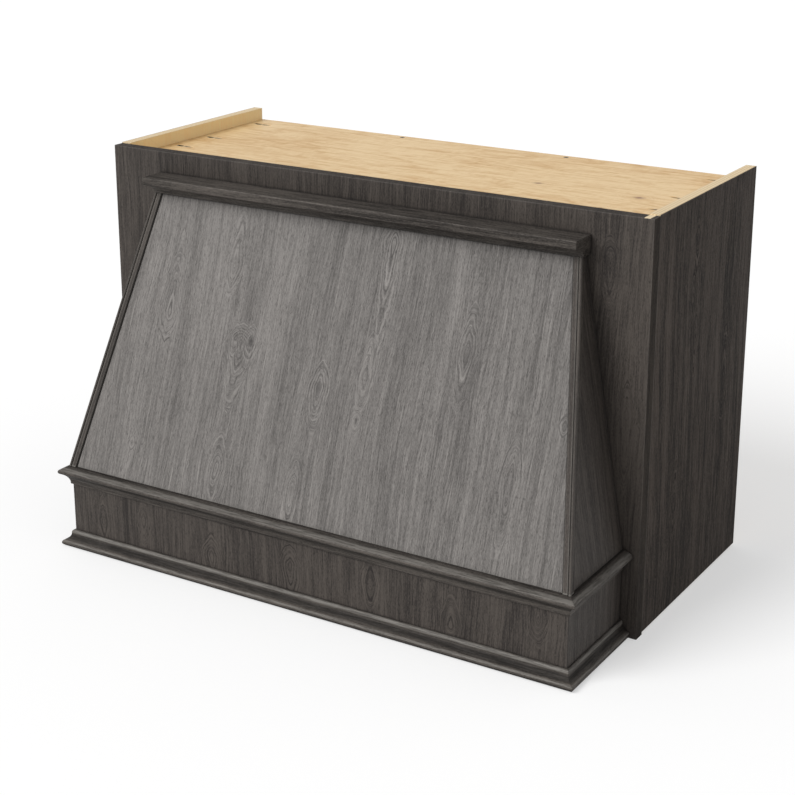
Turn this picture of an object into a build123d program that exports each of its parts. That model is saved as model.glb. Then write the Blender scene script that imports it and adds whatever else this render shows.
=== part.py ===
"""Wooden range hood cover: a wall-hung carcass with a sloped, tapering canopy on a moulded skirt.

Millimetres. +Z is up, +Y points at the wall and X = 0 is the middle. The origin is at the centre of
the whole cover's footprint, on the level of the base moulding's underside. Every left-hand piece
is modelled, and its right-hand twin is its mirror image.
"""

from build123d import *
from math import atan, cos, radians, sin, tan
import os

# ---------------------------------------------------------------- driving sizes: the carcass
HOOD_WIDTH = 914.4  # 36 in, over both sides
FRONT_HEIGHT = 609.6  # 24 in
CARCASS_DEPTH = 372.0  # face of the front panel to the wall
FRONT_THICKNESS = 19.05
EASED_EDGE = 0.8  # radius on the front panel's outer edges
SIDE_THICKNESS = 16.0
SIDE_BOTTOM_LIFT = 4.0  # the sides stop this far above the front panel's lower edge
SIDE_TOP_RISE = 1.6  # and stand this far above its upper edge
TOP_THICKNESS = 16.0
TOP_RECESS = 19.3  # depth of the well over the top panel
RAIL_THICKNESS = 19.05
UPPER_RAIL_HEIGHT = 88.9
LOWER_RAIL_HEIGHT = 63.5
STRIP_SIZE = 19.0  # square glue strips and blocks
STRIP_BOTTOM = 140.0
STRIP_TOP_GAP = 6.0

# ---------------------------------------------------------------- the skirt and its mouldings
SKIRT_PROJECTION = 166.5  # front panel's face to the skirt's face
SKIRT_INSET = 26.7  # hood's side to the skirt's side
SKIRT_HEIGHT = 133.0
SKIRT_THICKNESS = 19.05
BLOCK_LEG = 32.0  # triangular corner blocks
BLOCK_MARGIN = 7.0  # blocks stop this far inside the skirt's edges
MOULDING_PROJECTION = 16.5  # both mouldings stand this far out of the skirt

BASE_HEIGHT = 25.0
BASE_NOSE_RADIUS = 4.8
BASE_NOSE_TURN = 58.0  # the nose is rounded up to this slope, in degrees above its front
BASE_COVE_RADIUS = 13.0
BASE_BEAD_PROJECTION = 5.0
BASE_BEAD_RADIUS = 4.2
BASE_BEAD_DROP = 6.8  # moulding's top to the bead's lower edge

CAP_HEIGHT = 29.5
CAP_NOSE_RADIUS = 4.2
CAP_NOSE_RISE = 21.0  # lower edge to the middle of the nose
CAP_LEDGE = 5.0  # flat seat of the corner beads
CAP_STEP = 2.9  # small square at the foot of the cove
CAP_COVE_RADIUS = 17.0
CAP_QUIRK = 1.2  # step between cove and nose

# ---------------------------------------------------------------- the canopy
CANOPY_TOP_DROP = 59.6  # front panel's upper edge to the canopy's top
CANOPY_TOP_PROJECTION = 16.0
CANOPY_TAPER = 71.0  # each side leans in this far
CANOPY_THICKNESS = 12.7
OPENING_DROP = 80.0  # canopy's top to the top of the opening behind it
OPENING_LAND = 13.5  # front panel left showing inside the cheek cleats
WEDGE_HEIGHT = 45.0
WEDGE_END_GAP = 6.0
CLEAT_DROP = 60.0  # canopy's top to the top of the cheek cleats

BEAD_PROUD = 4.0  # corner bead stands this far out of both faces
BEAD_LEG = 10.0  # and covers this much of each
BEAD_RADIUS = 2.1
BEAD_QUIRK = 1.1
BEAD_FLAT = 3.0  # thickness of the flat beside the quirk
BEAD_EDGE = 1.2  # thickness left at the bevelled edge

TRIM_PROJECTION = 45.0
TRIM_HEIGHT = 27.0
TRIM_OVERHANG = 3.3  # past the corner beads at each end
TRIM_FACE = 12.5
TRIM_EDGE_RADIUS = 2.0
TRIM_STEP = 3.0  # square under the face
TRIM_FOOT = 22.0  # depth left at the underside
TRIM_FOOT_HEIGHT = 3.0

# ---------------------------------------------------------------- the liner's cleats
LINER_CLEAT_THICKNESS = 19.0
LINER_CLEAT_HEIGHT = 38.0
LINER_CLEAT_RISE = 40.0  # lower edge above the skirt's underside
LINER_CLEAT_GAP = 2.0  # clear of the blocks at its ends

# ---------------------------------------------------------------- fasteners and their holes
HOLE_CLEARANCE = 0.1  # radial, round every shank
SHANK_RADIUS = 2.0
SCREW_HEAD_RADIUS = 4.0
SCREW_HEAD_ANGLE = 82
SCREW_LENGTH = 31.0
POINT_LENGTH = 4.0
POCKET_ANGLE = 15.0  # between a pocket screw and its board
POCKET_RADIUS = 4.75
POCKET_SHOULDER = 15.0  # seat of the head to the board's end, along the screw
POCKET_SCREW_LENGTH = 26.0
PAN_HEAD_RADIUS = 3.6
PAN_HEAD_HEIGHT = 2.4
TOP_POCKET_DISTANCES = (118.0, 198.0, 332.0)  # behind the front panel's face
TOP_RAIL_SCREW_SPACING = 300.0
STUD_SPACING = 406.4  # 16 in
WALL_HOLE_RADIUS = 2.75

# ---------------------------------------------------------------- worked out from the above
HALF_WIDTH = HOOD_WIDTH / 2
INNER_HALF = HALF_WIDTH - SIDE_THICKNESS
OVERALL_DEPTH = CARCASS_DEPTH + SKIRT_PROJECTION + MOULDING_PROJECTION
WALL_Y = OVERALL_DEPTH / 2
FACE_Y = WALL_Y - CARCASS_DEPTH
FRONT_BACK_Y = FACE_Y + FRONT_THICKNESS
RAIL_Y = WALL_Y - RAIL_THICKNESS
SIDE_TOP = FRONT_HEIGHT + SIDE_TOP_RISE
TOP_FACE = SIDE_TOP - TOP_RECESS
TOP_UNDERSIDE = TOP_FACE - TOP_THICKNESS

SKIRT_HALF = HALF_WIDTH - SKIRT_INSET
SKIRT_Y = FACE_Y - SKIRT_PROJECTION
SKIRT_INNER_HALF = SKIRT_HALF - SKIRT_THICKNESS
SKIRT_INNER_Y = SKIRT_Y + SKIRT_THICKNESS

CANOPY_TOP = FRONT_HEIGHT - CANOPY_TOP_DROP
CANOPY_RISE = CANOPY_TOP - SKIRT_HEIGHT
FRONT_LEAN = (SKIRT_PROJECTION - CANOPY_TOP_PROJECTION) / CANOPY_RISE
CHEEK_LEAN = CANOPY_TAPER / CANOPY_RISE
FRONT_SECTION = CANOPY_THICKNESS / cos(atan(FRONT_LEAN))  # level thickness of the sloped front
CHEEK_SECTION = CANOPY_THICKNESS / cos(atan(CHEEK_LEAN))
CORNER_RUN = Vector(CANOPY_TAPER, CANOPY_RISE * FRONT_LEAN, CANOPY_RISE)  # up the left corner


def cheek_half(height):
    """Half the canopy's outer width at a height."""
    return SKIRT_HALF - CHEEK_LEAN * (height - SKIRT_HEIGHT)


def cheek_inner_x(height):
    """Inner face of the left cheek at a height."""
    return CHEEK_SECTION - cheek_half(height)


def canopy_y(height, depth=0.0):
    """The sloped front's outer face at a height, or a level depth behind it."""
    return SKIRT_Y + FRONT_LEAN * (height - SKIRT_HEIGHT) + depth


# Planes that the canopy's pieces are cut to: z_dir points out of the canopy.
CHEEK_PLANES = [
    Plane(origin=(side * SKIRT_HALF, 0, SKIRT_HEIGHT), x_dir=(0, 1, 0), z_dir=(side, 0, CHEEK_LEAN))
    for side in (-1, 1)
]
FACE_PLANE = Plane(origin=(0, FACE_Y, 0), x_dir=(1, 0, 0), z_dir=(0, -1, 0))
CANOPY_INNER_PLANE = Plane(
    origin=(0, canopy_y(SKIRT_HEIGHT, FRONT_SECTION), SKIRT_HEIGHT),
    x_dir=(1, 0, 0),
    z_dir=(0, -1, FRONT_LEAN),
)


def finish(part, name):
    """Label a finished piece and write it."""
    part.label = name
    export_step(part, f"parts/{name}.step")


def finish_pair(left, name):
    """Write a left-hand piece and its mirror image."""
    finish(left.part, f"left_{name}")
    with BuildPart() as right:
        mirror(left.part, about=Plane.YZ)
    finish(right.part, f"right_{name}")


def board(low, high):
    """A square-edged board between two opposite corners."""
    with BuildPart() as piece:
        with Locations(low):
            Box(*(Vector(high) - Vector(low)), align=(Align.MIN, Align.MIN, Align.MIN))
    return piece


# ---------------------------------------------------------------- fasteners
def head_cone(radius):
    """Height of a countersunk cone between a radius and the head's rim."""
    return (SCREW_HEAD_RADIUS - radius) / tan(radians(SCREW_HEAD_ANGLE / 2))


def wood_screw(length):
    """Countersunk screw down -Z, its head's rim level with the origin."""
    with BuildPart() as screw:
        with BuildSketch(Plane.XZ):
            with BuildLine():
                Polyline(
                    (0, 0),
                    (SCREW_HEAD_RADIUS, 0),
                    (SHANK_RADIUS, -head_cone(SHANK_RADIUS)),
                    (SHANK_RADIUS, POINT_LENGTH - length),
                    (0, -length),
                    close=True,
                )
            make_face()
        revolve(axis=Axis.Z)
    return screw.part


def pocket_screw():
    """Pan-headed screw down -Z, its head seated on the origin's level."""
    with BuildPart() as screw:
        with BuildSketch(Plane.XZ):
            with BuildLine():
                Polyline(
                    (0, PAN_HEAD_HEIGHT),
                    (PAN_HEAD_RADIUS, PAN_HEAD_HEIGHT),
                    (PAN_HEAD_RADIUS, 0),
                    (SHANK_RADIUS, 0),
                    (SHANK_RADIUS, POINT_LENGTH - POCKET_SCREW_LENGTH),
                    (0, -POCKET_SCREW_LENGTH),
                    close=True,
                )
            make_face()
        revolve(axis=Axis.Z)
    return screw.part


def pocket_plane(end, outward, surface):
    """Seat of a pocket screw leaving a board's end at `end`; `surface` is its drilled face's normal."""
    run = outward * cos(radians(POCKET_ANGLE)) - surface * sin(radians(POCKET_ANGLE))
    return Plane(origin=end - run * POCKET_SHOULDER, z_dir=-run)


def cut_pockets(planes):
    """Drill the stepped pocket holes of the board being made."""
    with Locations(*planes):
        Cylinder(
            POCKET_RADIUS,
            POCKET_SHOULDER * 5,
            align=(Align.CENTER, Align.CENTER, Align.MIN),
            mode=Mode.SUBTRACT,
        )
        drill_shanks(POCKET_SCREW_LENGTH)


def drill_shanks(length):
    """A plain hole for a screw's shank, down -Z of each location."""
    Cylinder(
        SHANK_RADIUS + HOLE_CLEARANCE,
        length + HOLE_CLEARANCE,
        align=(Align.CENTER, Align.CENTER, Align.MAX),
        mode=Mode.SUBTRACT,
    )


def countersink():
    """A screw's hole and the seat of its head, down -Z of each location."""
    CounterSinkHole(
        SHANK_RADIUS + HOLE_CLEARANCE,
        SCREW_HEAD_RADIUS + HOLE_CLEARANCE,
        depth=SCREW_LENGTH + HOLE_CLEARANCE,
        counter_sink_angle=SCREW_HEAD_ANGLE,
    )


def place_screws(screw, planes, name):
    """Write a group of like screws, one at each plane."""
    with BuildPart() as group:
        for plane in planes:
            add(plane.location * screw)
    finish(group.part, name)


def both_sides(planes):
    """The given seats and their mirror images."""
    twins = [
        Plane(
            origin=(-p.origin.X, p.origin.Y, p.origin.Z),
            z_dir=(-p.z_dir.X, p.z_dir.Y, p.z_dir.Z),
        )
        for p in planes
    ]
    return list(planes) + twins


TOP_POCKETS = [
    pocket_plane(
        Vector(-INNER_HALF, FACE_Y + distance, TOP_FACE - TOP_THICKNESS / 2),
        Vector(-1, 0, 0),
        Vector(0, 0, 1),
    )
    for distance in TOP_POCKET_DISTANCES
]
TOP_RAIL_SCREWS = [
    Plane(origin=(side * TOP_RAIL_SCREW_SPACING / 2, WALL_Y - RAIL_THICKNESS / 2, TOP_FACE))
    for side in (-1, 1)
]


# ---------------------------------------------------------------- carcass
def make_side_panels():
    """Ply sides, drilled inside for the top panel's pocket screws."""
    left = board((-HALF_WIDTH, FRONT_BACK_Y, SIDE_BOTTOM_LIFT), (-INNER_HALF, WALL_Y, SIDE_TOP))
    with left:
        with Locations(*TOP_POCKETS):
            drill_shanks(POCKET_SCREW_LENGTH)
    finish_pair(left, "side_panel")


def make_top_panel():
    """Let down between the sides, with three pocket holes at each end."""
    top = board((-INNER_HALF, FRONT_BACK_Y, TOP_UNDERSIDE), (INNER_HALF, WALL_Y, TOP_FACE))
    with top:
        cut_pockets(both_sides(TOP_POCKETS))
        with Locations(*TOP_RAIL_SCREWS):
            countersink()
    finish(top.part, "top_panel")
    place_screws(pocket_screw(), both_sides(TOP_POCKETS), "top_pocket_screws")
    place_screws(wood_screw(SCREW_LENGTH), TOP_RAIL_SCREWS, "top_rail_screws")


def make_front_panel():
    """One upright panel, cut out behind the canopy so that the liner reaches forward."""
    opening_top = CANOPY_TOP - OPENING_DROP
    inset = CHEEK_SECTION + STRIP_SIZE + OPENING_LAND
    lower = SKIRT_HALF - inset
    upper = cheek_half(opening_top) - inset
    with BuildPart() as front:
        with BuildSketch(FACE_PLANE):
            with Locations((0, FRONT_HEIGHT / 2)):
                Rectangle(HOOD_WIDTH, FRONT_HEIGHT)
            with BuildLine():
                Polyline(
                    (-lower, 0),
                    (-lower, SKIRT_HEIGHT),
                    (-upper, opening_top),
                    (upper, opening_top),
                    (lower, SKIRT_HEIGHT),
                    (lower, 0),
                    close=True,
                )
            make_face(mode=Mode.SUBTRACT)
        extrude(amount=-FRONT_THICKNESS)
        face_edges = front.faces().sort_by(Axis.Y)[0].outer_wire().edges()
        fillet(face_edges.filter_by(lambda edge: edge.length >= FRONT_HEIGHT), EASED_EDGE)
    finish(front.part, "front_panel")


def make_hanging_rails():
    """Rails between the sides, bored for the wall screws."""
    for name, bottom, height in (
        ("upper", TOP_UNDERSIDE - UPPER_RAIL_HEIGHT, UPPER_RAIL_HEIGHT),
        ("lower", SIDE_BOTTOM_LIFT, LOWER_RAIL_HEIGHT),
    ):
        rail = board((-INNER_HALF, RAIL_Y, bottom), (INNER_HALF, WALL_Y, bottom + height))
        with rail:
            with Locations((0, WALL_Y, bottom + height / 2)):
                with GridLocations(STUD_SPACING, 0, 2, 1):
                    Cylinder(
                        WALL_HOLE_RADIUS,
                        RAIL_THICKNESS * 2,
                        rotation=(90, 0, 0),
                        mode=Mode.SUBTRACT,
                    )
            if name == "upper":
                with Locations(*TOP_RAIL_SCREWS):
                    drill_shanks(SCREW_LENGTH)
        finish(rail.part, f"{name}_hanging_rail")


def make_corner_strips():
    """Glue strips in the corners behind the front panel."""
    left = board(
        (-INNER_HALF, FRONT_BACK_Y, STRIP_BOTTOM),
        (STRIP_SIZE - INNER_HALF, FRONT_BACK_Y + STRIP_SIZE, TOP_UNDERSIDE - STRIP_TOP_GAP),
    )
    finish_pair(left, "corner_strip")


# ---------------------------------------------------------------- skirt
def corner_mitre():
    """Upright mitre plane through the skirt's left front corner; z_dir points at the side piece."""
    return Plane(origin=(-SKIRT_HALF, SKIRT_Y, 0), z_dir=(-1, 1, 0))


def cut_front_mitres():
    """Cut a front piece at both corners."""
    split(bisect_by=corner_mitre(), keep=Keep.BOTTOM)
    right_mitre = Plane(origin=(SKIRT_HALF, SKIRT_Y, 0), z_dir=(1, 1, 0))
    split(bisect_by=right_mitre, keep=Keep.BOTTOM)


def make_skirt_boards():
    """Three boards, mitred at the corners."""
    front = board((-SKIRT_HALF, SKIRT_Y, 0), (SKIRT_HALF, SKIRT_INNER_Y, SKIRT_HEIGHT))
    with front:
        cut_front_mitres()
    finish(front.part, "skirt_front_board")

    left = board((-SKIRT_HALF, SKIRT_Y, 0), (-SKIRT_INNER_HALF, FACE_Y, SKIRT_HEIGHT))
    with left:
        split(bisect_by=corner_mitre(), keep=Keep.TOP)
    finish_pair(left, "skirt_board")


def make_skirt_blocks():
    """Triangular blocks in the front corners and square ones against the front panel."""
    block_height = SKIRT_HEIGHT - 2 * BLOCK_MARGIN
    with BuildPart() as corner:
        with BuildSketch(Plane.XY.offset(BLOCK_MARGIN)):
            with BuildLine():
                Polyline(
                    (-SKIRT_INNER_HALF, SKIRT_INNER_Y),
                    (BLOCK_LEG - SKIRT_INNER_HALF, SKIRT_INNER_Y),
                    (-SKIRT_INNER_HALF, SKIRT_INNER_Y + BLOCK_LEG),
                    close=True,
                )
            make_face()
        extrude(amount=block_height)
    finish_pair(corner, "corner_block")

    back = board(
        (-SKIRT_INNER_HALF, FACE_Y - STRIP_SIZE, BLOCK_MARGIN),
        (STRIP_SIZE - SKIRT_INNER_HALF, FACE_Y, BLOCK_MARGIN + block_height),
    )
    finish_pair(back, "back_block")


def base_profile():
    """Base moulding, against the skirt at x = 0: bead over a shallow cove over a rounded nose."""
    nose_x = MOULDING_PROJECTION - BASE_NOSE_RADIUS
    turn = radians(BASE_NOSE_TURN)
    nose_end = (nose_x + BASE_NOSE_RADIUS * cos(turn), BASE_NOSE_RADIUS * (1 + sin(turn)))
    bead_foot = (BASE_BEAD_PROJECTION, BASE_HEIGHT - BASE_BEAD_DROP)
    bead_side = (BASE_BEAD_PROJECTION, BASE_HEIGHT - BASE_BEAD_RADIUS)
    bead_top = (BASE_BEAD_PROJECTION - BASE_BEAD_RADIUS, BASE_HEIGHT)
    with BuildLine() as outline:
        Line((0, 0), (nose_x, 0))
        ThreePointArc((nose_x, 0), (MOULDING_PROJECTION, BASE_NOSE_RADIUS), nose_end)
        RadiusArc(nose_end, bead_foot, BASE_COVE_RADIUS)
        Line(bead_foot, bead_side)
        RadiusArc(bead_side, bead_top, -BASE_BEAD_RADIUS)
        Polyline(bead_top, (0, BASE_HEIGHT), (0, 0))
    return outline.line


def cap_profile():
    """Cap moulding, against the skirt at x = 0: weathered top, rounded nose and a cove below."""
    nose_x = MOULDING_PROJECTION - CAP_NOSE_RADIUS
    nose_bottom = CAP_NOSE_RISE - CAP_NOSE_RADIUS
    slope = atan((CAP_HEIGHT - CAP_NOSE_RISE - CAP_NOSE_RADIUS) / (nose_x - CAP_LEDGE))
    slope_end = (nose_x + CAP_NOSE_RADIUS * sin(slope), CAP_NOSE_RISE + CAP_NOSE_RADIUS * cos(slope))
    cove_top = (nose_x - CAP_QUIRK, nose_bottom - CAP_QUIRK)
    with BuildLine() as outline:
        Polyline((0, 0), (CAP_STEP, 0), (CAP_STEP, CAP_STEP))
        RadiusArc((CAP_STEP, CAP_STEP), cove_top, CAP_COVE_RADIUS)
        Polyline(cove_top, (nose_x - CAP_QUIRK, nose_bottom), (nose_x, nose_bottom))
        ThreePointArc((nose_x, nose_bottom), (MOULDING_PROJECTION, CAP_NOSE_RISE), slope_end)
        Polyline(slope_end, (CAP_LEDGE, CAP_HEIGHT), (0, CAP_HEIGHT), (0, 0))
    return outline.line


def make_moulding(profile, bottom, name):
    """A moulding round the skirt in three mitred lengths, dying into the front panel."""
    with BuildPart() as front:
        with BuildSketch(Plane(origin=(0, SKIRT_Y, bottom), x_dir=(0, -1, 0), z_dir=(-1, 0, 0))):
            add(profile)
            make_face()
        extrude(amount=SKIRT_HALF + MOULDING_PROJECTION, both=True)
        cut_front_mitres()
    finish(front.part, f"{name}_front")

    with BuildPart() as left:
        with BuildSketch(Plane(origin=(-SKIRT_HALF, FACE_Y, bottom), x_dir=(-1, 0, 0), z_dir=(0, 1, 0))):
            add(profile)
            make_face()
        extrude(amount=-SKIRT_PROJECTION - MOULDING_PROJECTION)
        split(bisect_by=corner_mitre(), keep=Keep.TOP)
    finish_pair(left, name)


# ---------------------------------------------------------------- canopy
def make_canopy_front():
    """The sloped front: a slab cut to the lean of both cheeks, with level top and bottom edges."""
    with BuildPart() as front:
        with BuildSketch(Plane.YZ):
            with BuildLine():
                Polyline(
                    (canopy_y(SKIRT_HEIGHT), SKIRT_HEIGHT),
                    (canopy_y(SKIRT_HEIGHT, FRONT_SECTION), SKIRT_HEIGHT),
                    (canopy_y(CANOPY_TOP, FRONT_SECTION), CANOPY_TOP),
                    (canopy_y(CANOPY_TOP), CANOPY_TOP),
                    close=True,
                )
            make_face()
        extrude(amount=SKIRT_HALF, both=True)
        for plane in CHEEK_PLANES:
            split(bisect_by=plane, keep=Keep.BOTTOM)
        split(bisect_by=FACE_PLANE, keep=Keep.TOP)
    finish(front.part, "canopy_front_panel")


def make_cheeks():
    """Leaning triangular sides, cut to the back of the sloped front."""
    with BuildPart() as left:
        with BuildSketch(FACE_PLANE):
            with BuildLine():
                Polyline(
                    (-cheek_half(SKIRT_HEIGHT), SKIRT_HEIGHT),
                    (cheek_inner_x(SKIRT_HEIGHT), SKIRT_HEIGHT),
                    (cheek_inner_x(CANOPY_TOP), CANOPY_TOP),
                    (-cheek_half(CANOPY_TOP), CANOPY_TOP),
                    close=True,
                )
            make_face()
        extrude(amount=SKIRT_PROJECTION)
        split(bisect_by=CANOPY_INNER_PLANE, keep=Keep.BOTTOM)
    finish_pair(left, "canopy_cheek")


def make_corner_beads():
    """Beaded angle mouldings that cover the canopy's corner joints."""
    flat = BEAD_RADIUS * 2 + BEAD_QUIRK - BEAD_PROUD  # where the flat begins, past the corner
    bead = (BEAD_RADIUS - BEAD_PROUD, BEAD_RADIUS - BEAD_PROUD)
    with BuildPart() as left:
        with BuildSketch(Plane(origin=(-SKIRT_HALF, SKIRT_Y, SKIRT_HEIGHT))):
            with BuildLine():
                Polyline(
                    (0, 0),
                    (BEAD_LEG, 0),
                    (BEAD_LEG, -BEAD_EDGE),
                    (BEAD_LEG - BEAD_FLAT + BEAD_EDGE, -BEAD_FLAT),
                    (flat, -BEAD_FLAT),
                    (flat - BEAD_QUIRK / 2, -BEAD_EDGE),
                    bead,
                    (-BEAD_EDGE, flat - BEAD_QUIRK / 2),
                    (-BEAD_FLAT, flat),
                    (-BEAD_FLAT, BEAD_LEG - BEAD_FLAT + BEAD_EDGE),
                    (-BEAD_EDGE, BEAD_LEG),
                    (0, BEAD_LEG),
                    close=True,
                )
            make_face()
            with Locations(bead):
                Circle(BEAD_RADIUS)
        extrude(amount=CORNER_RUN.length, dir=CORNER_RUN)
    finish_pair(left, "corner_bead")


def make_top_trim():
    """Cornice over the canopy's top edge: square-ended, with a cove under its face."""
    half_length = cheek_half(CANOPY_TOP) + BEAD_PROUD + TRIM_OVERHANG
    step_x = TRIM_PROJECTION - TRIM_STEP
    step_z = TRIM_HEIGHT - TRIM_FACE
    with BuildPart() as trim:
        with BuildSketch(Plane(origin=(0, FACE_Y, CANOPY_TOP), x_dir=(0, -1, 0), z_dir=(-1, 0, 0))):
            with BuildLine():
                Polyline(
                    (TRIM_FOOT, TRIM_FOOT_HEIGHT),
                    (TRIM_FOOT, 0),
                    (0, 0),
                    (0, TRIM_HEIGHT),
                    (TRIM_PROJECTION, TRIM_HEIGHT),
                    (TRIM_PROJECTION, step_z),
                    (step_x, step_z),
                )
                EllipticalCenterArc(
                    (step_x, TRIM_FOOT_HEIGHT),
                    step_x - TRIM_FOOT,
                    step_z - TRIM_FOOT_HEIGHT,
                    start_angle=90,
                    arc_size=90,
                )
            make_face()
        extrude(amount=half_length, both=True)
        nose = trim.edges().filter_by(Axis.X).group_by(Axis.Y)[0]
        fillet(nose, TRIM_EDGE_RADIUS)
    finish(trim.part, "top_trim")


def make_cheek_cleats():
    """Cleats that fix the cheeks to the front panel from inside."""
    top = CANOPY_TOP - CLEAT_DROP
    bottom = SKIRT_HEIGHT + BLOCK_MARGIN
    with BuildPart() as left:
        with BuildSketch(FACE_PLANE):
            with BuildLine():
                Polyline(
                    (cheek_inner_x(bottom), bottom),
                    (cheek_inner_x(bottom) + STRIP_SIZE, bottom),
                    (cheek_inner_x(top) + STRIP_SIZE, top),
                    (cheek_inner_x(top), top),
                    close=True,
                )
            make_face()
        extrude(amount=STRIP_SIZE)
    finish_pair(left, "cheek_cleat")


def make_canopy_wedge():
    """Strip that fills the wedge between the sloped front's top and the front panel."""
    top = CANOPY_TOP - WEDGE_END_GAP
    bottom = top - WEDGE_HEIGHT
    with BuildPart() as wedge:
        with BuildSketch(Plane(origin=(0, 0, 0), x_dir=(0, 1, 0), z_dir=(1, 0, 0))):
            with BuildLine():
                Polyline(
                    (canopy_y(bottom, FRONT_SECTION), bottom),
                    (FACE_Y, bottom),
                    (FACE_Y, top),
                    (canopy_y(top, FRONT_SECTION), top),
                    close=True,
                )
            make_face()
        extrude(amount=-cheek_inner_x(CANOPY_TOP) - WEDGE_END_GAP, both=True)
    finish(wedge.part, "canopy_wedge")


# ---------------------------------------------------------------- liner cleats
def make_liner_cleats():
    """Cleats that the hood liner's flange is screwed up into."""
    cleat_top = LINER_CLEAT_RISE + LINER_CLEAT_HEIGHT
    left = board(
        (-INNER_HALF, FRONT_BACK_Y + LINER_CLEAT_GAP, LINER_CLEAT_RISE),
        (LINER_CLEAT_THICKNESS - INNER_HALF, RAIL_Y - LINER_CLEAT_GAP, cleat_top),
    )
    finish_pair(left, "liner_cleat")

    half_length = SKIRT_INNER_HALF - BLOCK_LEG - LINER_CLEAT_GAP
    front = board(
        (-half_length, SKIRT_INNER_Y, LINER_CLEAT_RISE),
        (half_length, SKIRT_INNER_Y + LINER_CLEAT_THICKNESS, cleat_top),
    )
    finish(front.part, "front_liner_cleat")


def main():
    os.makedirs("parts", exist_ok=True)
    make_side_panels()
    make_top_panel()
    make_front_panel()
    make_hanging_rails()
    make_corner_strips()
    make_skirt_boards()
    make_skirt_blocks()
    make_moulding(base_profile(), 0, "base_moulding")
    make_moulding(cap_profile(), SKIRT_HEIGHT - CAP_HEIGHT, "cap_moulding")
    make_canopy_front()
    make_cheeks()
    make_corner_beads()
    make_top_trim()
    make_cheek_cleats()
    make_canopy_wedge()
    make_liner_cleats()


main()
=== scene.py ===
"""Looks of a wooden range hood cover: stained oak outside, bare maple plywood and softwood inside."""

from math import cos, pi, radians, sin, tan

import bpy
from mathutils import Matrix, Vector


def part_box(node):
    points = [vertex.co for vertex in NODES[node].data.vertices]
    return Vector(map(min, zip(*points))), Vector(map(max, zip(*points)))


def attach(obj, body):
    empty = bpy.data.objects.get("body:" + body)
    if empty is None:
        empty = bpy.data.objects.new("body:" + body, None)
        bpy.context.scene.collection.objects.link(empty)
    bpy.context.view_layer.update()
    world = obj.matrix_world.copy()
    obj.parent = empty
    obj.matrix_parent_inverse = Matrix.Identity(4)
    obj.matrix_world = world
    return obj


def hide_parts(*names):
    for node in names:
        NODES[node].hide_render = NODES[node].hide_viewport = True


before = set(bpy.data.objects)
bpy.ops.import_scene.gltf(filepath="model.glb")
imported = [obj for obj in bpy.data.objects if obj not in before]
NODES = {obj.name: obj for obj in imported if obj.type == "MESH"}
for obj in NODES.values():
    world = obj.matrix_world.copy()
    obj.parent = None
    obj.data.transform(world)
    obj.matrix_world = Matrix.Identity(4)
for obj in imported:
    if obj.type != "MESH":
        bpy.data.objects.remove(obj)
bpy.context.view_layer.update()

bl_info = {
    "name": "Range hood cover finishes",
    "version": (1, 0, 0),
    "blender": (4, 5, 0),
    "location": "3D View > Sidebar > Hood Cover",
    "description": "Stains, bare plywood, screws, glue and the studio of a wooden range hood cover",
    "category": "Object",
}

UP = Vector((0, 0, 1))
ACROSS_FRONT = Vector((1, 0, 0))
TO_WALL = Vector((0, 1, 0))
SIDES = ((-1, "left"), (1, "right"))
SKIN = 0.0003  # how deep a stained or bare face counts, behind its surface


def canopy_corner(end):
    """Outer left corner of the sloped front: end 1 is its lower edge and -1 its upper one."""
    points = [vertex.co for vertex in NODES["canopy_front_panel"].data.vertices]
    return min(points, key=lambda p: (end * round(p.z, 4), round(p.y, 4), p.x)).copy()


CANOPY_FOOT = canopy_corner(1)
CORNER_RUN = canopy_corner(-1) - CANOPY_FOOT
FRONT_RUN = Vector((0, CORNER_RUN.y, CORNER_RUN.z)).normalized()
CANOPY_THICKNESS = 0.0127

# ------------------------------------------------------------------ settings


def colour(name, description, default):
    return bpy.props.FloatVectorProperty(
        name=name, description=description, default=default, subtype="COLOR", size=3, min=0, max=1
    )


def length(name, description, default):
    return bpy.props.FloatProperty(
        name=name, description=description, default=default, min=0, unit="LENGTH", precision=4
    )


def factor(name, description, default):
    return bpy.props.FloatProperty(
        name=name, description=description, default=default, min=0, max=4, subtype="FACTOR"
    )


def angle(name, description, default):
    return bpy.props.FloatProperty(name=name, description=description, default=default, subtype="ANGLE")


class HoodStain(bpy.types.PropertyGroup):
    """The grey stain on the oak."""

    board_dark: colour("Board dark", "Late wood of the upright boards", (0.024, 0.020, 0.018))
    board_light: colour("Board light", "Early wood of the upright boards", (0.079, 0.067, 0.058))
    # The sides' tones: a darker copy of the board stain, painted shade, set for the side that faces away
    # from the key light.
    shaded_side_dark: colour("Side dark", "Late wood of the ply sides", (0.0090, 0.0064, 0.0049))
    shaded_side_light: colour("Side light", "Early wood of the ply sides", (0.0635, 0.0475, 0.0370))
    # The sloped front's tones: paler than the board stain, partly painted light and sheen that the slope
    # catches.
    lit_canopy_dark: colour("Canopy dark", "Late wood of the sloped front", (0.095, 0.088, 0.083))
    lit_canopy_light: colour("Canopy light", "Early wood of the sloped front", (0.226, 0.211, 0.199))
    moulding_dark: colour("Moulding dark", "Late wood of the mouldings", (0.016, 0.013, 0.011))
    moulding_light: colour("Moulding light", "Early wood of the mouldings", (0.098, 0.085, 0.074))
    # Painted shadow: the dark line where a corner bead meets the sloped front.
    joint_shadow: colour("Joint", "Stain gathered beside a corner bead", (0.010, 0.008, 0.007))
    # Also the painted highlight on the mouldings' rounded parts, ridges and sharp edges.
    wear_and_highlight: colour("Worn arris", "Stain rubbed thin on sharp edges", (0.25, 0.235, 0.215))
    edge_radius: length("Edge radius", "How round the sanded edges look", 0.0008)
    # Also how far the painted shade in hollows and seams reaches.
    pool_and_shade_reach: length("Pool and shade reach", "How far from a hollow's corner the stain pools", 0.006)
    # Also how far the painted highlight on ridges reaches.
    rub_reach: length("Rub reach", "How far from a ridge the stain is rubbed thin", 0.0030)


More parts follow.
